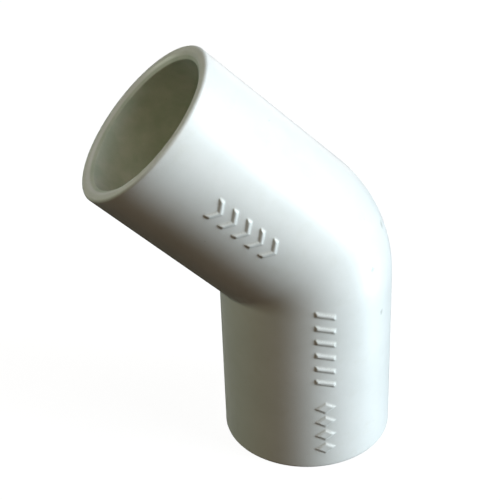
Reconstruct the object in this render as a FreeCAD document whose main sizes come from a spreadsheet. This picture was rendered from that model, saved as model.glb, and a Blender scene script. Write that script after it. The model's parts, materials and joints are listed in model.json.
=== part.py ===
"""45 degree elbow for 21.5 mm plastic pipe: one moulding with two plain sockets.

The body is drawn about the point where the axes of its two sockets cross. The lower socket runs
down from there, along -Z, and the upper one leans over towards -X. The mould parts along the XZ
plane, and the raised marks stand on the -Y side. The body's Placement then lifts it, so that the
lower mouth stands on z = 0.
"""

import FreeCAD, Part
import math
import os

import Sketcher

# Each driving dimension: its alias, its value in millimetres or degrees, and what it measures.
DIMENSIONS = [
    ("socket_radius", 10.8, "inside radius of both sockets, for pipe of 21.5 mm outside diameter"),
    ("wall", 2.1, "wall of the sockets"),
    ("arm_length", 31.9, "from the crossing of the axes to each mouth"),
    ("socket_depth", 24.0, "from each mouth to its pipe stop"),
    ("stop_ledge", 1.2, "how far a pipe stop stands in from the socket's wall"),
    ("bend_angle", 45.0, "angle through which the pipe run turns"),
    ("bend_radius", 11.6, "radius of the outer bend, measured at the middle of the pipe"),
    ("rim_round", 0.45, "rounding of each mouth's outer edge"),
    ("lead_in_width", 0.9, "lead-in chamfer inside each mouth, across the wall"),
    ("lead_in_depth", 0.6, "lead-in chamfer inside each mouth, along the socket"),
    ("mark_height", 0.15, "how far raised marks stand proud of the wall"),
    ("stroke", 0.65, "width of a raised stroke, measured along the socket"),
    ("arrow_start", 9.8, "point of the first arrow mark, from the crossing of the axes"),
    ("arrow_pitch", 2.5, "from one arrow mark to the next"),
    ("arrow_count", 5, "arrow marks on the upper socket"),
    ("arrow_reach", 1.55, "half the height of an arrow mark, across the socket"),
    ("arrow_sweep", 1.05, "from an arrow mark's point back to its tails"),
    ("bar_start", 4.1, "middle of the first slanted bar, from the crossing of the axes"),
    ("bar_pitch", 2.35, "from one slanted bar to the next"),
    ("bar_count", 6, "slanted bars on the lower socket"),
    ("bar_reach", 1.4, "half the height of a slanted bar, across the socket"),
    ("bar_slant", 0.45, "from a slanted bar's middle to its ends, along the socket"),
    ("diamond_start", 19.8, "near corner of the first diamond, from the crossing of the axes"),
    ("diamond_pitch", 2.5, "from one diamond to the next"),
    ("diamond_count", 4, "diamonds on the lower socket"),
    ("diamond_reach", 1.4, "half the height of a diamond, across the socket"),
    ("diamond_half_length", 0.9, "half the length of a diamond, along the socket"),
    ("gate_radius", 1.2, "radius of the trimmed stub where the mould was filled"),
]

BODY_RADIUS = "(Dimensions.socket_radius + Dimensions.wall)"
WATERWAY_RADIUS = "(Dimensions.socket_radius - Dimensions.stop_ledge)"
BEND_START = "(Dimensions.bend_radius * tan(Dimensions.bend_angle * 0.5 deg))"
MARK_ROOT = "(Dimensions.socket_radius + Dimensions.wall * 0.5)"
MARK_LENGTH = "(Dimensions.wall * 0.5 + Dimensions.mark_height)"


def make_sheet(doc):
    """The spreadsheet that holds each driving dimension under its alias."""
    sheet = doc.addObject("Spreadsheet::Sheet", "Dimensions")
    for row, (alias, value, meaning) in enumerate(DIMENSIONS, start=1):
        sheet.set(f"A{row}", meaning)
        sheet.set(f"B{row}", str(value))
        sheet.setAlias(f"B{row}", alias)
    doc.recompute()


def add_sketch(body, name, role, turn="0", base=("0", "0", "0")):
    """A sketch on one of the body's origin planes, moved and turned within that plane's frame."""
    sketch = body.newObject("Sketcher::SketchObject", name)
    plane = next(item for item in body.Origin.OriginFeatures if item.Role == role)
    sketch.AttachmentSupport = [(plane, "")]
    sketch.MapMode = "FlatFace"
    sketch.setExpression("AttachmentOffset.Rotation.Angle", f"({turn}) * 1 deg")
    for axis, expression in zip("xyz", base):
        sketch.setExpression(f"AttachmentOffset.Base.{axis}", expression)
    return sketch


def evaluate(sketch, pair):
    """The point that a pair of expressions stands for now."""
    across, along = (float(sketch.evalExpression(expression)) for expression in pair)
    return FreeCAD.Vector(across, along, 0)


def arc_between(start, end, centre):
    """The counter-clockwise arc from start to end."""
    first = math.atan2(start.y - centre.y, start.x - centre.x)
    last = math.atan2(end.y - centre.y, end.x - centre.x)
    circle = Part.Circle(centre, FreeCAD.Vector(0, 0, 1), start.distanceToPoint(centre))
    return Part.ArcOfCircle(circle, first, last)


def draw_outline(sketch, corners, arcs=None):
    """A closed outline, counter-clockwise through corners given as pairs of expressions.

    arcs maps the number of a corner to the centre and radius of the arc that leaves it. Every
    other side is straight.
    """
    arcs = arcs or {}
    points = [evaluate(sketch, corner) for corner in corners]
    edges = []
    for number, (here, after) in enumerate(zip(points, points[1:] + points[:1])):
        if number in arcs:
            side = arc_between(here, after, evaluate(sketch, arcs[number][0]))
        else:
            side = Part.LineSegment(here, after)
        edges.append(sketch.addGeometry(side, False))
    for here, after in zip(edges, edges[1:] + edges[:1]):
        sketch.addConstraint(Sketcher.Constraint("Coincident", here, 2, after, 1))
    for edge, corner in zip(edges, corners):
        for kind, expression in zip(("DistanceX", "DistanceY"), corner):
            place = sketch.evalExpression(expression)
            index = sketch.addConstraint(Sketcher.Constraint(kind, edge, 1, float(place)))
            sketch.setExpression(f"Constraints[{index}]", expression)
    for number, (_, radius) in arcs.items():
        size = float(sketch.evalExpression(radius))
        index = sketch.addConstraint(Sketcher.Constraint("Radius", edges[number], size))
        sketch.setExpression(f"Constraints[{index}]", radius)


def check_change(feature, grows):
    """Stops the build if a feature that should add or remove material doesn't."""
    feature.Document.recompute()
    before = feature.BaseFeature.Shape.Volume if feature.BaseFeature else 0.0
    change = feature.Shape.Volume - before
    if change == 0 or (change > 0) != grows:
        raise RuntimeError(f"{feature.Label} changes the volume by {change:.3f}")


def add_turned(body, kind, name, sketch, angle="360", turns_back=False):
    """A Revolution or a Groove of a sketch about the sketch's own vertical axis."""
    feature = body.newObject(f"PartDesign::{kind}", name)
    feature.Profile = sketch
    feature.ReferenceAxis = (sketch, ["V_Axis"])
    feature.Reversed = turns_back
    feature.setExpression("Angle", f"({angle}) * 1 deg")
    check_change(feature, grows=kind == "Revolution")


def add_socket(body, name, turn):
    """The outside of one socket, from its mouth to where the bend starts."""
    sketch = add_sketch(body, f"{name}_outline", "XZ_Plane", turn)
    mouth = "-Dimensions.arm_length"
    corners = [
        ("0", mouth),
        (f"{BODY_RADIUS} - Dimensions.rim_round", mouth),
        (BODY_RADIUS, f"{mouth} + Dimensions.rim_round"),
        (BODY_RADIUS, f"-{BEND_START}"),
        ("0", f"-{BEND_START}"),
    ]
    rim_centre = (corners[1][0], corners[2][1])
    draw_outline(sketch, corners, {1: (rim_centre, "Dimensions.rim_round")})
    add_turned(body, "Revolution", name, sketch)


def add_bend(body):
    """The rounded back of the bend, turned about the line on which its inner side closes up.

    The bend's radius is less than the body's, so its section is a disc cut off at that line, and
    the two sockets meet in a sharp crease on the inner side.
    """
    base = ("-Dimensions.bend_radius", "0", f"-{BEND_START}")
    sketch = add_sketch(body, "bend_section", "XY_Plane", base=base)
    half_chord = f"sqrt({BODY_RADIUS}^2 - Dimensions.bend_radius^2)"
    corners = [("0", f"-{half_chord}"), ("0", half_chord)]
    centre = ("Dimensions.bend_radius", "0")
    draw_outline(sketch, corners, {0: (centre, BODY_RADIUS)})
    add_turned(body, "Revolution", "bend", sketch, "Dimensions.bend_angle", turns_back=True)


def add_bore(body, name, turn):
    """The inside of one arm: lead-in, socket, pipe stop and a waterway with a round end.

    The round ends of the two waterways are one ball about the crossing of the axes, as the
    mould's two core pins leave it.
    """
    sketch = add_sketch(body, f"{name}_outline", "XZ_Plane", turn)
    mouth = "-Dimensions.arm_length"
    stop = f"{mouth} + Dimensions.socket_depth"
    corners = [
        ("0", mouth),
        ("Dimensions.socket_radius + Dimensions.lead_in_width", mouth),
        ("Dimensions.socket_radius", f"{mouth} + Dimensions.lead_in_depth"),
        ("Dimensions.socket_radius", stop),
        (WATERWAY_RADIUS, stop),
        (WATERWAY_RADIUS, "0"),
        ("0", WATERWAY_RADIUS),
    ]
    draw_outline(sketch, corners, {5: (("0", "0"), WATERWAY_RADIUS)})
    add_turned(body, "Groove", name, sketch)


def add_pad(body, name, sketch, faces_back=False):
    """A flat-topped raised shape that grows out of the wall by the height of the marks."""
    pad = body.newObject("PartDesign::Pad", name)
    pad.Profile = sketch
    pad.Reversed = faces_back
    pad.setExpression("Length", MARK_LENGTH)
    check_change(pad, grows=True)
    return pad


def add_mark_row(body, name, turn, corners):
    """A row of raised marks on the -Y side, along a socket from the bend towards its mouth.

    corners are those of the first mark, along the socket and across it. The row's pitch and
    count are the dimensions with the same name.
    """
    sketch = add_sketch(body, f"{name}_outline", "XZ_Plane", turn, ("0", "0", MARK_ROOT))
    draw_outline(sketch, corners)
    mark = add_pad(body, f"{name}_mark", sketch)
    row = body.newObject("PartDesign::LinearPattern", f"{name}_row")
    row.Originals = [mark]
    row.Direction = (sketch, ["H_Axis"])
    row.Mode = "Spacing"
    row.setExpression("Offset", f"Dimensions.{name}_pitch")
    row.setExpression("Occurrences", f"Dimensions.{name}_count")
    body.Tip = row
    check_change(row, grows=True)


def arrow_corners():
    """An arrow head made of two strokes, its point towards the bend."""
    point = "Dimensions.arrow_start"
    tail = f"{point} + Dimensions.arrow_sweep"
    reach = "Dimensions.arrow_reach"
    return [
        (point, "0"),
        (tail, f"-{reach}"),
        (f"{tail} + Dimensions.stroke", f"-{reach}"),
        (f"{point} + Dimensions.stroke", "0"),
        (f"{tail} + Dimensions.stroke", reach),
        (tail, reach),
    ]


def bar_corners():
    """One slanted stroke."""
    low_end = "Dimensions.bar_start - Dimensions.bar_slant"
    high_end = "Dimensions.bar_start + Dimensions.bar_slant"
    reach = "Dimensions.bar_reach"
    return [
        (low_end, f"-{reach}"),
        (f"{low_end} + Dimensions.stroke", f"-{reach}"),
        (f"{high_end} + Dimensions.stroke", reach),
        (high_end, reach),
    ]


def diamond_corners():
    """One solid diamond."""
    near = "Dimensions.diamond_start"
    middle = f"{near} + Dimensions.diamond_half_length"
    reach = "Dimensions.diamond_reach"
    return [
        (near, "0"),
        (middle, f"-{reach}"),
        (f"{middle} + Dimensions.diamond_half_length", "0"),
        (middle, reach),
    ]


def add_gate(body):
    """The trimmed stub of the mould's gate, on the +Y side where the axes cross."""
    sketch = add_sketch(body, "gate_outline", "XZ_Plane", base=("0", "0", f"-{MARK_ROOT}"))
    circle = Part.Circle(FreeCAD.Vector(0, 0, 0), FreeCAD.Vector(0, 0, 1), 1.0)
    edge = sketch.addGeometry(circle, False)
    sketch.addConstraint(Sketcher.Constraint("Coincident", edge, 3, -1, 1))
    index = sketch.addConstraint(Sketcher.Constraint("Radius", edge, 1.0))
    sketch.setExpression(f"Constraints[{index}]", "Dimensions.gate_radius")
    add_pad(body, "gate_stub", sketch, faces_back=True)


def make_elbow(doc):
    """The whole moulding as one body."""
    body = doc.addObject("PartDesign::Body", "elbow_body")
    body.Label = "elbow_body"
    upper_turn = "180 + Dimensions.bend_angle"
    add_socket(body, "lower_socket", "0")
    add_socket(body, "upper_socket", upper_turn)
    add_bend(body)
    add_mark_row(body, "arrow", "90 + Dimensions.bend_angle", arrow_corners())
    add_mark_row(body, "bar", "-90", bar_corners())
    add_mark_row(body, "diamond", "-90", diamond_corners())
    add_gate(body)
    add_bore(body, "lower_bore", "0")
    add_bore(body, "upper_bore", upper_turn)
    body.setExpression("Placement.Base.z", "Dimensions.arm_length")
    doc.recompute()
    return body


def check_document(doc, bodies):
    """Stops the build if any object failed or any sub-part's shape is unusable."""
    for item in doc.Objects:
        if "Invalid" in item.State or "Error" in item.State:
            raise RuntimeError(f"{item.Label} failed: {item.State}")
    for body in bodies:
        if body.Shape.isNull() or not body.Shape.isValid() or len(body.Shape.Solids) != 1:
            raise RuntimeError(f"{body.Label} isn't one valid solid")


def main():
    """Builds the document, checks it, and writes one STEP file per sub-part."""
    doc = FreeCAD.newDocument("PipeElbow")
    make_sheet(doc)
    bodies = [make_elbow(doc)]
    check_document(doc, bodies)
    os.makedirs("parts", exist_ok=True)
    for body in bodies:
        body.Shape.exportStep(f"parts/{body.Label}.step")
        box = body.Shape.BoundBox
        print(
            f"{body.Label}: {body.Shape.Volume / 1000:.3f} cm3,"
            f" x {box.XMin:.3f} to {box.XMax:.3f}, y {box.YMin:.3f} to {box.YMax:.3f},"
            f" z {box.ZMin:.3f} to {box.ZMax:.3f}"
        )


main()
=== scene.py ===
"""White PVC pipe elbow: one moulding with two plain sockets, turned through 45 degrees.

The moulding is one closed mesh. It is a grid that runs round the pipe in one direction and, in
the other, up the outside from the lower mouth to the upper one, over the rim, back down the
inside and over the lower rim. Lengths are in metres, as the frame's are; MM turns millimetres
into metres.
"""
import json
import math

import bpy
import numpy as np
from mathutils import Matrix, Vector, noise


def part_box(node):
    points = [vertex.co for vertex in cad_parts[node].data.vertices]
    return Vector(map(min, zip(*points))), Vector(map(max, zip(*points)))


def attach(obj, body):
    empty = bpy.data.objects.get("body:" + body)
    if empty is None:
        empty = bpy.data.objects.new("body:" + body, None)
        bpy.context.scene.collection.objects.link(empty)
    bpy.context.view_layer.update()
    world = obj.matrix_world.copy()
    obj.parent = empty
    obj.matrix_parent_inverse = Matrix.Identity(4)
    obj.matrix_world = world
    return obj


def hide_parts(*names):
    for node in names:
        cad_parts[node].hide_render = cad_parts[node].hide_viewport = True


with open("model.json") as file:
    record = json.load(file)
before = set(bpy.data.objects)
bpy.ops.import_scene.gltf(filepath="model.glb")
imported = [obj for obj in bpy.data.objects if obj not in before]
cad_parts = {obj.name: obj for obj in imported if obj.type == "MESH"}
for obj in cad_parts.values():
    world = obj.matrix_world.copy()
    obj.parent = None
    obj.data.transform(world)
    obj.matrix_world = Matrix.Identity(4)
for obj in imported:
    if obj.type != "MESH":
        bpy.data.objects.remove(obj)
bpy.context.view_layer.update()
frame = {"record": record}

MM = 0.001
NODE = "elbow_body"

# ---------------------------------------------------------------- sizes read from the frame

mounts = {mount["name"]: mount for mount in frame["record"]["mounts"]}
lower, upper = mounts["lower_socket"], mounts["upper_socket"]
node_low, node_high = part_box(NODE)
wall_length = lower["dims"]["length_mm"] * MM            # of a socket, lead-in to pipe stop

BODY_R = node_high.x                                     # outside of the lower socket, at +X
SOCKET_R = lower["dims"]["r_mm"] * MM
ARM = mounts["upper_mouth"]["pos_m"][0] / upper["axis"][0]       # axes' crossing to a mouth
TURN = math.acos(upper["axis"][2])
LEAD_DEPTH = lower["pos_m"][2] - wall_length / 2
STOP_DEPTH = lower["pos_m"][2] + wall_length / 2

CROSSING = np.array([0.0, 0.0, ARM])
UP_AXIS = np.array([-math.sin(TURN), 0.0, math.cos(TURN)])
UP_SIDE = np.array([math.cos(TURN), 0.0, math.sin(TURN)])

# ------------------------------------------------------------------- sizes of the moulding

BEND_R = 11.6 * MM          # of the outer bend, at the middle of the pipe
WATERWAY_R = SOCKET_R - 1.2 * MM
RIM_ROUND = 0.45 * MM
LEAD_WIDTH = 0.9 * MM
CREASE_R = 0.5 * MM         # fillet in the crease on the inner side of the bend
CORE_R = 0.3 * MM           # the same inside the waterway
SETTLING = 0.6 * MM         # how gradually the bend tightens to those fillets
SEAM_RISE = 0.03 * MM       # witness line where the two halves of the mould met
SEAM_WIDTH = 0.11 * MM
GATE_R = 1.2 * MM
GATE_CUT = 0.04 * MM        # unevenness of the gate stub's cut top
EDGE = 0.48 * MM            # width of the slope at the side of a raised mark
STRIP = BODY_R * math.cos(0.16)      # marks and gate lie further than this from Y = 0

# -------------------------------------------------------------------- spacing of the grid

FINE = 0.112 * MM           # between rings and between columns, across the raised marks
WIDEST = math.radians(3.0)  # between columns, away from any detail
GROWTH = 1.8                # from one step to the next, between a band and the widest steps
BANDS = (
    # close columns: angle round the pipe from its heel, half the width, spacing
    (-math.pi, 0.27 * MM, 0.06 * MM),             # mould seam in the crotch
    (-math.pi / 2, 1.8 * MM, FINE),               # raised marks
    (0.0, 0.27 * MM, 0.06 * MM),                  # mould seam on the heel
    (math.pi / 2, 1.5 * MM, 0.2 * MM),            # gate stub
)
LEVEL = 5.75 * MM           # the first ring square to its arm, from the crossing
LOWER_MARKED = (3.6 * MM, 29.6 * MM)              # where the marks lie, from the crossing
UPPER_MARKED = (9.4 * MM, 22.0 * MM)
RIM_ROWS = 8                # rings on the rounding of a rim
BORE_ROWS = 12              # rings over a rim before the bore's painted shade starts, in the lead-in


# ------------------------------------------------------------------------ the grid's columns

def widening(spacing):
    """Steps away from a band of columns, from its own spacing up to the widest."""
    steps = [spacing * GROWTH]
    while steps[-1] * GROWTH < WIDEST:
        steps.append(steps[-1] * GROWTH)
    return steps


def around():
    """Angles round the pipe from its heel, closer together in the bands."""
    bands = []
    for centre, half_width, spacing in BANDS:
        steps = round(2 * half_width / spacing)
        bands.append(centre + np.linspace(-half_width, half_width, steps + 1) / BODY_R)
    angles = []
    for here, after in zip(bands, bands[1:] + [bands[0] + 2 * math.pi]):
        first = here[-1] + np.cumsum(widening(here[1] - here[0]))
        last = after[0] - np.cumsum(widening(after[1] - after[0]))
        gap = last[-1] - first[-1]
        steps = math.ceil(gap / WIDEST)
        middle = first[-1] + gap * np.arange(1, steps) / steps
        angles += [*here, *first, *middle, *last[::-1]]
    return np.array(angles)


PHI = around()
COS, SIN = np.cos(PHI), np.sin(PHI)


def seam(angles):
    """The witness line's height, at the heel and at the crotch."""
    nearest = np.abs((angles + math.pi / 2) % math.pi - math.pi / 2) * BODY_R
    return SEAM_RISE * np.exp(-((nearest / SEAM_WIDTH) ** 2))


OUTER_R = BODY_R - SEAM_RISE + seam(PHI)


# -------------------------------------------------------------------------- the grid's rings

def straight(arm, radius, along):
    """A ring on an arm, along from the crossing of the axes. Arm 0 is the lower one."""
    across = radius * COS
    if arm == 0:
        ring = np.stack([across, radius * SIN, -along * np.ones_like(PHI)], axis=1)
    else:
        ring = np.outer(across, UP_SIDE) + np.outer(along * np.ones_like(PHI), UP_AXIS)
        ring[:, 1] += radius * SIN
    return ring + CROSSING


def turning(radius, bend_r, least):
    """How sharply each line along the pipe turns, never tighter than about least."""
    spare = bend_r + radius * COS - least
    return least + (spare + np.sqrt(spare**2 + SETTLING**2)) / 2


def bend_start(radius, bend_r, least):
    """How far from the crossing each line along the pipe leaves its straight run."""
    return (turning(radius, bend_r, least) - radius * COS) * math.tan(TURN / 2)


def bent(radius, bend_r, least, angle):
    """A ring in the bend, angle round from the lower arm."""
    turn_r = turning(radius, bend_r, least)
    centre = radius * COS - turn_r
    x = centre + turn_r * math.cos(angle)
    z = centre * math.tan(TURN / 2) + turn_r * math.sin(angle)
    return np.stack([x, radius * SIN, z], axis=1) + CROSSING


def arc(centre, radius, first, last, steps):
    """Points of an arc in the section of a rim, angles in degrees."""
    turns = np.radians(np.linspace(first, last, steps + 1))
    return [(centre[0] + radius * math.cos(t), centre[1] + radius * math.sin(t)) for t in turns]


def rim_section():
    """The section of a mouth as (radius short of the outside, depth from the mouth).

    It starts on the outside, passes over the flat rim and the lead-in and ends on the socket.
    """
    wall = BODY_R - SOCKET_R
    flat_end = wall - LEAD_WIDTH
    soft, nick = 0.09 * MM, 0.01 * MM             # how far along and across corners are softened
    points = arc((RIM_ROUND, RIM_ROUND), RIM_ROUND, 180, 270, RIM_ROWS - 1)
    points += [(flat_end - 2 * soft, 0.0), (flat_end - soft, nick)]
    slope = np.linspace(0.0, 1.0, 5)[:-1] + 0.08
    points += [(flat_end + LEAD_WIDTH * t, 2 * nick + LEAD_DEPTH * t) for t in slope]
    points += [(wall - 2 * nick, LEAD_DEPTH - nick), (wall, LEAD_DEPTH + soft)]
    return points


def stop_section():
    """The pipe stop as (radius, depth from the mouth), from the socket's wall inwards."""
    fillet, nose = 0.3 * MM, 0.2 * MM
    points = arc((SOCKET_R - fillet, STOP_DEPTH - fillet), fillet, 0, 90, 4)
    points += arc((WATERWAY_R + nose, STOP_DEPTH + nose), nose, 270, 180, 4)
    return points


def outer_arm(arm, marked):
    """Rings from the end of the bend to the rim, close together between marked's two ends."""
    near, far = marked
    start = bend_start(BODY_R, BEND_R, CREASE_R)
    last = ARM - RIM_ROUND
    plain_steps = 5
    lead_steps = 8 if near <= LEVEL else 3
    rings = [start + (LEVEL - start) * k / lead_steps for k in range(1, lead_steps)]
    if near > LEVEL:
        rings += [*np.linspace(LEVEL, near, plain_steps + 1)[:-1]]
    rings += [*np.arange(max(near, LEVEL), far, FINE)]
    rings += [*np.linspace(far, last, plain_steps + 1)[:-1]]
    return [straight(arm, OUTER_R, along) for along in rings]


def over_rim(arm):
    """Rings over the rim and the lead-in, down the socket, over the stop to the waterway."""
    past_lead, before_stop, past_stop = 0.3 * MM, 0.5 * MM, 0.4 * MM
    socket_rings, waterway_rings = 12, 5
    rings = [straight(arm, OUTER_R - short, ARM - depth) for short, depth in rim_section()]
    depths = np.linspace(LEAD_DEPTH + past_lead, STOP_DEPTH - before_stop, socket_rings)
    rings += [straight(arm, SOCKET_R, ARM - depth) for depth in depths]
    rings += [straight(arm, radius, ARM - depth) for radius, depth in stop_section()]
    first = ARM - STOP_DEPTH - past_stop
    last = bend_start(WATERWAY_R, 0.0, CORE_R)
    for k in range(waterway_rings):
        rings.append(straight(arm, WATERWAY_R, first + (last - first) * k / waterway_rings))
    return rings


def all_rings():
    """The rings up the outside, and those over both rims and through the inside, in order."""
    outer_turns = np.linspace(0, TURN, 64)
    inner_turns = np.linspace(TURN, 0, 17)
    outside = outer_arm(0, LOWER_MARKED)[::-1]
    outside += [bent(OUTER_R, BEND_R, CREASE_R, t) for t in outer_turns]
    outside += outer_arm(1, UPPER_MARKED)
    inside = over_rim(1)
    inside += [bent(WATERWAY_R, 0.0, CORE_R, t) for t in inner_turns]
    inside += over_rim(0)[::-1]
    return np.array(outside), np.array(inside)


# ------------------------------------------------------------------------------ raised marks

def polygon_distance(x, y, corners):
    """Signed distance from each point to a closed outline, negative inside."""
    nearest = np.full(x.shape, np.inf)
    inside = np.zeros(x.shape, bool)
    for (ax, ay), (bx, by) in zip(corners, corners[1:] + corners[:1]):
        ex, ey = bx - ax, by - ay
        t = np.clip(((x - ax) * ex + (y - ay) * ey) / (ex * ex + ey * ey), 0, 1)
        nearest = np.minimum(nearest, np.hypot(x - ax - t * ex, y - ay - t * ey))
        if ey:
            crosses = ((ay > y) != (by > y)) & (x < ax + ex * (y - ay) / ey)
            inside ^= crosses
    return np.where(inside, -nearest, nearest)


def arrow(start):
    """The outline of an arrow head that points towards the bend, in millimetres."""
    reach, sweep, stroke = 1.55, 1.05, 0.65
    tail = start + sweep
    return [(start, 0), (tail, -reach), (tail + stroke, -reach), (start + stroke, 0),
            (tail + stroke, reach), (tail, reach)]


def bar(start):
    """The outline of a slanted stroke, in millimetres."""
    reach, slant, stroke = 1.4, 0.45, 0.65
    return [(start - slant, -reach), (start - slant + stroke, -reach),
            (start + slant + stroke, reach), (start + slant, reach)]


def diamond(start):
    """The outline of a diamond, in millimetres."""
    reach, half = 1.4, 0.9
    return [(start, 0), (start + half, -reach), (start + 2 * half, 0), (start + half, reach)]


# Rows of marks: shape, millimetres from the axes' crossing to the first one, pitch, number.
UPPER_ROWS = ((arrow, 9.8, 2.5, 5),)
LOWER_ROWS = ((bar, 4.1, 2.35, 6), (diamond, 19.8, 2.5, 4))


def rows_distance(rows, along, across):
    """Signed distance in millimetres from each point to the nearest mark of an arm's rows."""
    outlines = []
    for shape, first, pitch, number in rows:
        outlines += [shape(first + pitch * k) for k in range(number)]
    return np.min([polygon_distance(along, across, corners) for corners in outlines], axis=0)


def marks_distance(points):
    """Signed distance in millimetres from each point to the nearest raised mark, seen along Y."""
    x, z = ((points - CROSSING) / MM)[:, [0, 2]].T
    up_along = x * UP_AXIS[0] + z * UP_AXIS[2]
    up_across = -(x * UP_SIDE[0] + z * UP_SIDE[2])
    on_upper = rows_distance(UPPER_ROWS, up_along, up_across)
    on_lower = rows_distance(LOWER_ROWS, -z, x)
    return np.minimum(on_upper, on_lower)


def smooth(value):
    """0 below 0, 1 above 1 and a smooth step between."""
    value = np.clip(value, 0, 1)
    return value * value * (3 - 2 * value)


def raise_marks(points, worn, foot_shaded):
    """Lifts the marks on the -Y side to their flat tops, rubs their edges and paints shade at their
    feet.

    The distances of wear and of the painted shade from a mark's outline are in millimetres.
    """
    rub_inside, rub_reach, rub_fade = 0.12, 0.30, 0.25
    shade_outside, shade_fade = 0.02, 0.28
    front = np.where(points[:, 1] < -STRIP)[0]
    distance = marks_distance(points[front])
    lifted = smooth(0.5 - distance * MM / EDGE)
    points[front, 1] += lifted * (node_low.y - points[front, 1])
    worn[front] = smooth((rub_reach - np.abs(distance + rub_inside)) / rub_fade)
    # Painted shade in a band just outside each mark's outline, at its foot.
    foot_shaded[front] = smooth(1 - (distance - shade_outside) / shade_fade) * (distance > 0.0)


def raise_gate(points, worn):
    """Lifts the gate stub on the +Y side to its rough-cut, rubbed top."""
    cut_scale, rubbed = 1400, 0.6                 # bumps to the metre, and the wear of the top
    back = np.where(points[:, 1] > STRIP)[0]
    from_gate = np.hypot(points[back, 0], points[back, 2] - ARM)
    lifted = smooth(0.5 - (from_gate - GATE_R) / EDGE)
    rough = np.array([noise.noise(Vector(points[k]) * cut_scale) for k in back])
    top = node_high.y + (rough * GATE_CUT - GATE_CUT)
    points[back, 1] += lifted * (top - points[back, 1])
    worn[back] = lifted * rubbed


# --------------------------------------------------------------------------------- the mesh

def make_grid():
    """The rings of points, with how far each point is inside the pipe, worn and in painted shade at a
    mark's foot.
    """
    outside, inside = all_rings()
    points = outside.reshape(-1, 3)
    worn, foot_shaded = np.zeros((2, len(points)))
    raise_marks(points, worn, foot_shaded)
    raise_gate(points, worn)
    rings = np.concatenate([points.reshape(outside.shape), inside])
    inner, wear, mark_foot_shade = np.zeros((3, *rings.shape[:2]))
    # The bore between the lead-ins: painted shade in its colour, and duller.
    inner[len(outside) + BORE_ROWS:-BORE_ROWS] = 1.0
    wear[:len(outside)] = worn.reshape(outside.shape[:2])
    mark_foot_shade[:len(outside)] = foot_shaded.reshape(outside.shape[:2])
    rim_wear = 0.8
    for first in (len(outside), len(rings) - RIM_ROWS):
        wear[first:first + RIM_ROWS] = rim_wear
    return rings, {"inside": inner, "wear": wear, "mark_foot_shade": mark_foot_shade}


def make_mesh():
    """The moulding as one closed mesh of quads, with its wear, painted shade at the marks' feet and
    inside as attributes.
    """
    rings, attributes = make_grid()
    points = np.clip(rings.reshape(-1, 3), node_low, node_high)
    number = np.arange(len(points)).reshape(rings.shape[:2])
    beside = np.roll(number, -1, axis=1)
    corners = np.stack([number, beside, np.roll(beside, -1, axis=0), np.roll(number, -1, axis=0)],
                       axis=2)
    mesh = bpy.data.meshes.new("pvc_elbow")
    mesh.from_pydata(points.tolist(), [], corners.reshape(-1, 4).tolist())
    mesh.polygons.foreach_set("use_smooth", np.ones(len(points), bool))
    for name, values in attributes.items():
        mesh.attributes.new(name, "FLOAT", "POINT").data.foreach_set("value", values.ravel())
    mesh.validate()
    mesh.update()
    return mesh


# ------------------------------------------------------------------------------- materials

class Nodes:
    """A small helper that adds shader nodes to a tree and links them."""

    def __init__(self, tree):
        self.tree = tree
        tree.nodes.clear()

    @staticmethod
    def input(node, name):
        """An input by its place, as in i3, or by its name with _ for each space."""
        if name[0] == "i" and name[1:].isdigit():
            return node.inputs[int(name[1:])]
        return node.inputs[name.replace("_", " ")]

    def add(self, kind, settings=None, **inputs):
        """A node with its settings and with each input linked or set."""
        node = self.tree.nodes.new(kind)
        for name, value in (settings or {}).items():
            setattr(node, name, value)
        for name, value in inputs.items():
            socket = self.input(node, name)
            if isinstance(value, bpy.types.NodeSocket):
                self.tree.links.new(value, socket)
            else:
                socket.default_value = value
        return node

    def attribute(self, name):
        """One of the numbers that the mesh holds at each point."""
        return self.add("ShaderNodeAttribute", {"attribute_name": name}).outputs["Fac"]

    def noise(self, place, scale, detail=3.0, rough=0.5):
        """Noise of about 0 to 1, with some scale blotches to each unit of place."""
        return self.add("ShaderNodeTexNoise", Vector=place, Scale=scale, Detail=detail,
                        Roughness=rough).outputs["Fac"]

    def remap(self, value, low, high, to_low=0.0, to_high=1.0):
        """The stretch from low to high turned into that from to_low to to_high, and no further."""
        return self.add("ShaderNodeMapRange", i0=value, i1=low, i2=high, i3=to_low,
                        i4=to_high).outputs[0]

    def math(self, operation, first, second):
        """The result of an arithmetic operation on two numbers."""
        return self.add("ShaderNodeMath", {"operation": operation}, i0=first,
                        i1=second).outputs[0]

    def mix(self, amount, first, second):
        """A colour that goes from first to second as amount goes from 0 to 1."""
        node = self.add("ShaderNodeMix", {"data_type": "RGBA"}, i0=amount, i6=first, i7=second)
        return node.outputs[2]

    def bump(self, height, distance, normal=None):
        """The surface's normal, tilted by a height that reaches up to distance."""
        before = {} if normal is None else {"Normal": normal}
        return self.add("ShaderNodeBump", Height=height, Strength=1.0, Distance=distance,
                        **before).outputs[0]


def new_material(name):
    """An empty material, and the helper for its nodes."""
    material = bpy.data.materials.new(name)
    material.use_nodes = True
    return material, Nodes(material.node_tree)


# Linear colours of the plastic, of what is on it and of painted shade.
DULL_WHITE = (0.80, 0.81, 0.79, 1)
CLEAN_WHITE = (0.86, 0.865, 0.85, 1)
YELLOWED = (0.72, 0.71, 0.64, 1)
# Painted shade of the bore: olive, in a darker and a lighter tone.
BORE_SHADE_DARK = (0.39, 0.48, 0.35, 1)
BORE_SHADE_LIGHT = (0.57, 0.60, 0.50, 1)
# Painted shade at the feet of the raised marks.
FOOT_SHADE = (0.42, 0.40, 0.34, 1)
RUBBED = (0.70, 0.70, 0.67, 1)
SPECK = (0.45, 0.44, 0.40, 1)
SCUFFED = (0.40, 0.40, 0.36, 1)

# Small scuffs on the heel: where, in millimetres from the origin, and how far they reach.
SCUFFS = (
    ((10.35, -4.2, 36.2), 0.75),
    ((7.6, -9.85, 32.3), 0.6),
    ((9.3, -8.9, 24.2), 0.55),
)


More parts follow.
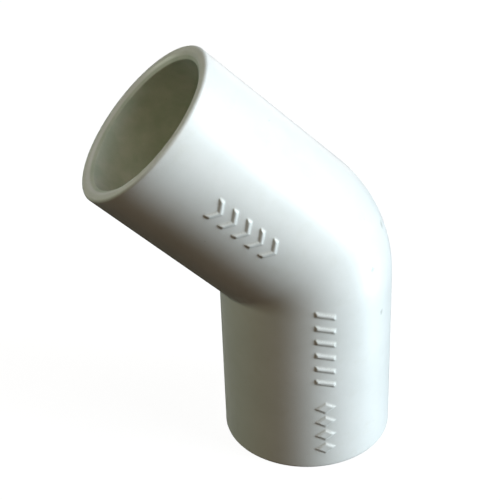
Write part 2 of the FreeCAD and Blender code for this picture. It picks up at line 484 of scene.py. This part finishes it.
def pvc_colour(n, place, inside, wear, mark_foot_shade):
    """Mottled white, with painted shade in the bore and at the feet of the marks, rubbed on the
    edges.
    """
    mottle = n.remap(n.noise(place, 0.11, 4.0, 0.55), 0.32, 0.68)
    colour = n.mix(mottle, DULL_WHITE, CLEAN_WHITE)
    patches = n.remap(n.noise(place, 0.42, 5.0, 0.62), 0.52, 0.75, 0.0, 0.22)
    colour = n.mix(patches, colour, YELLOWED)
    # Painted shade in the bore: olive and mottled, laid over the white where inside is 1.
    bore_mottle = n.remap(n.noise(place, 0.32, 5.0, 0.62), 0.36, 0.64)
    bore_shade = n.mix(bore_mottle, BORE_SHADE_DARK, BORE_SHADE_LIGHT)
    colour = n.mix(n.math("MULTIPLY", inside, 0.62), colour, bore_shade)
    # Painted shade at the feet of the raised marks, mottled.
    foot_shading = n.math("MULTIPLY", mark_foot_shade, n.remap(n.noise(place, 1.4), 0.35, 0.7, 0.15, 0.5))
    colour = n.mix(foot_shading, colour, FOOT_SHADE)
    rubbed = n.math("MULTIPLY", wear, n.remap(n.noise(place, 2.2, 4.0), 0.42, 0.66, 0.0, 0.35))
    colour = n.mix(rubbed, colour, RUBBED)
    specks = n.remap(n.noise(place, 0.8, 2.0, 0.4), 0.775, 0.80)
    colour = n.mix(n.math("MULTIPLY", specks, 0.25), colour, SPECK)
    for spot, reach in SCUFFS:
        away = n.add("ShaderNodeVectorMath", {"operation": "DISTANCE"}, i0=place, i1=spot)
        uneven = n.remap(n.noise(place, 3.0), 0.0, 1.0, -0.3, 0.3)
        ragged = n.math("ADD", away.outputs["Value"], uneven)
        dark = n.remap(ragged, 0.3 * reach, reach, 0.55, 0.0)
        colour = n.mix(dark, colour, SCUFFED)
    return colour


def pvc_roughness(n, place, scratches, inside, wear):
    """Satin and uneven, duller where it is scratched or rubbed and inside the bore."""
    rough = n.remap(n.noise(place, 0.6, 5.0, 0.6), 0.3, 0.7, 0.30, 0.40)
    rough = n.math("ADD", rough, n.math("MULTIPLY", scratches, 0.12))
    rough = n.math("ADD", rough, n.math("MULTIPLY", wear, 0.08))
    return n.math("ADD", rough, n.math("MULTIPLY", inside, 0.14))


def pvc_material():
    """Satin white rigid PVC. Its noise is laid out in millimetres."""
    material, n = new_material("satin_pvc")
    place = n.add("ShaderNodeTexCoord").outputs["Object"]
    place = n.add("ShaderNodeVectorMath", {"operation": "SCALE"}, i0=place, Scale=1 / MM).outputs[0]
    inside, wear, mark_foot_shade = n.attribute("inside"), n.attribute("wear"), n.attribute("mark_foot_shade")
    colour = pvc_colour(n, place, inside, wear, mark_foot_shade)

    long_in_z = (2.6, 2.6, 0.35)
    drawn_out = n.add("ShaderNodeMapping", i0=place, i3=long_in_z).outputs[0]
    scratches = n.remap(n.noise(drawn_out, 0.9, 6.0, 0.7), 0.56, 0.72)
    rough = pvc_roughness(n, place, scratches, inside, wear)

    ripple = n.bump(n.noise(place, 0.9, 2.0, 0.5), 0.006 * MM)
    grain = n.bump(n.noise(place, 5.5, 3.0, 0.6), 0.0025 * MM, ripple)
    normal = n.bump(scratches, 0.002 * MM, grain)
    shader = n.add("ShaderNodeBsdfPrincipled", Base_Color=colour, Roughness=rough, IOR=1.53,
                   Normal=normal)
    n.add("ShaderNodeOutputMaterial", Surface=shader.outputs[0])
    return material


def floor_material():
    """A pale studio table that glows a little, so that shadows on it stay faint."""
    material, n = new_material("pale_floor")
    place = n.add("ShaderNodeTexCoord").outputs["Object"]
    tone = n.remap(n.noise(place, 9.0, 3.0), 0.3, 0.7, 0.12, 0.13)
    colour = n.add("ShaderNodeCombineColor", i0=tone, i1=tone, i2=tone).outputs[0]
    shader = n.add("ShaderNodeBsdfPrincipled", Base_Color=colour, Roughness=0.9,
                   Emission_Color=(1, 1, 1, 1), Emission_Strength=0.95)
    n.add("ShaderNodeOutputMaterial", Surface=shader.outputs[0])
    return material


# ---------------------------------------------------------------------------------- studio

PANELS = (
    # name, azimuth, elevation, level, colour
    ("key", -24, 10, 0.65, (0.81, 0.92, 1.00)),
    ("key_high", -36, 40, 0.44, (0.80, 0.93, 1.00)),
    ("heel_high", -12, 40, 0.18, (0.86, 0.92, 1.00)),
    ("heel_low", -12, -20, 0.35, (0.74, 0.94, 1.00)),
    ("front", -60, 0, 0.05, (1.00, 0.85, 0.78)),
    ("front_high", -108, 40, 0.11, (1.00, 0.86, 0.50)),
    ("top", 0, 75, 0.12, (1.00, 0.92, 0.80)),
    ("back_left", 156, 12, 0.22, (0.88, 1.00, 0.81)),
    ("back_right", 60, 0, 0.06, (1.00, 0.82, 0.77)),
    ("back", 105, -8, 0.38, (0.97, 1.00, 0.98)),
)
PANEL_SIZE = 0.3
PANEL_DISTANCE = 0.8


def make_floor():
    """A wide pale floor just under the elbow.

    It doesn't light the elbow, isn't mirrored in it and doesn't block the panels below it.
    """
    size, level = 3.0, -0.02 * MM
    mesh = bpy.data.meshes.new("floor")
    corners = [(-size, -size, level), (size, -size, level), (size, size, level), (-size, size, level)]
    mesh.from_pydata(corners, [], [(0, 1, 2, 3)])
    floor = bpy.data.objects.new("floor", mesh)
    floor.data.materials.append(floor_material())
    floor.visible_diffuse = False
    floor.visible_glossy = False
    floor.visible_shadow = False
    bpy.context.scene.collection.objects.link(floor)


def direction(azimuth, elevation):
    """The unit vector towards a compass azimuth from +X and an elevation, in degrees."""
    a, e = math.radians(azimuth), math.radians(elevation)
    return Vector((math.cos(a) * math.cos(e), math.sin(a) * math.cos(e), math.sin(e)))


def make_panel(name, azimuth, elevation, level, colour):
    """A square soft light aimed at the middle of the elbow.

    level is how bright it makes a white surface that faces it. The back light isn't mirrored
    in the plastic, because it would glare along the edges that turn away from the camera.
    """
    light = bpy.data.lights.new(name, "AREA")
    light.size = PANEL_SIZE
    light.energy = level * (math.pi * PANEL_DISTANCE) ** 2
    light.color = colour
    panel = bpy.data.objects.new(name, light)
    middle = Vector((node_low + node_high) / 2)
    away = direction(azimuth, elevation)
    panel.location = middle + away * PANEL_DISTANCE
    panel.rotation_mode = "QUATERNION"
    panel.rotation_quaternion = away.to_track_quat("Z", "Y")
    panel.visible_camera = False
    panel.visible_glossy = name != "back"
    bpy.context.scene.collection.objects.link(panel)


def make_world():
    """A dim warm room, with a plain white surround for whatever the camera sees directly."""
    world = bpy.data.worlds.new("studio")
    world.use_nodes = True
    n = Nodes(world.node_tree)
    seen = n.add("ShaderNodeLightPath").outputs["Is Camera Ray"]
    room = n.add("ShaderNodeBackground", Color=(1.0, 0.45, 0.3, 1), Strength=0.016)
    white = n.add("ShaderNodeBackground", Color=(1, 1, 1, 1), Strength=1.0)
    both = n.add("ShaderNodeMixShader", i0=seen, i1=room.outputs[0], i2=white.outputs[0])
    n.add("ShaderNodeOutputWorld", Surface=both.outputs[0])
    bpy.context.scene.world = world


def make_camera():
    """The camera, above and a little to the left of the -Y side, close to the elbow.

    Its place is given from the crossing of the axes, in radii of the body, its angles in degrees.
    """
    azimuth, elevation, roll = -9.58, 31.22, -2.05
    place = Vector((-2.780, -12.682, 7.804)) * BODY_R + Vector(CROSSING)
    a, e = math.radians(azimuth), math.radians(elevation)
    back = Vector((math.sin(a) * math.cos(e), -math.cos(a) * math.cos(e), math.sin(e)))
    level_right = Vector((math.cos(a), math.sin(a), 0.0))
    right = Matrix.Rotation(math.radians(roll), 3, back) @ level_right
    up = back.cross(right)
    data = bpy.data.cameras.new("camera")
    data.sensor_width = 36.0
    data.lens = 95.46
    data.clip_start, data.clip_end = 0.01, 20.0
    camera = bpy.data.objects.new("camera", data)
    camera.matrix_world = Matrix.Translation(place) @ Matrix((right, up, back)).transposed().to_4x4()
    bpy.context.scene.collection.objects.link(camera)
    bpy.context.scene.camera = camera


# ---------------------------------------------------------------------------------- making

elbow = bpy.data.objects.new("pvc_elbow", make_mesh())
elbow.data.materials.append(pvc_material())
bpy.context.scene.collection.objects.link(elbow)
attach(elbow, "root")
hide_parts(NODE)

make_floor()
make_world()
for panel in PANELS:
    make_panel(*panel)
make_camera()
bpy.context.scene.view_settings.view_transform = "Standard"
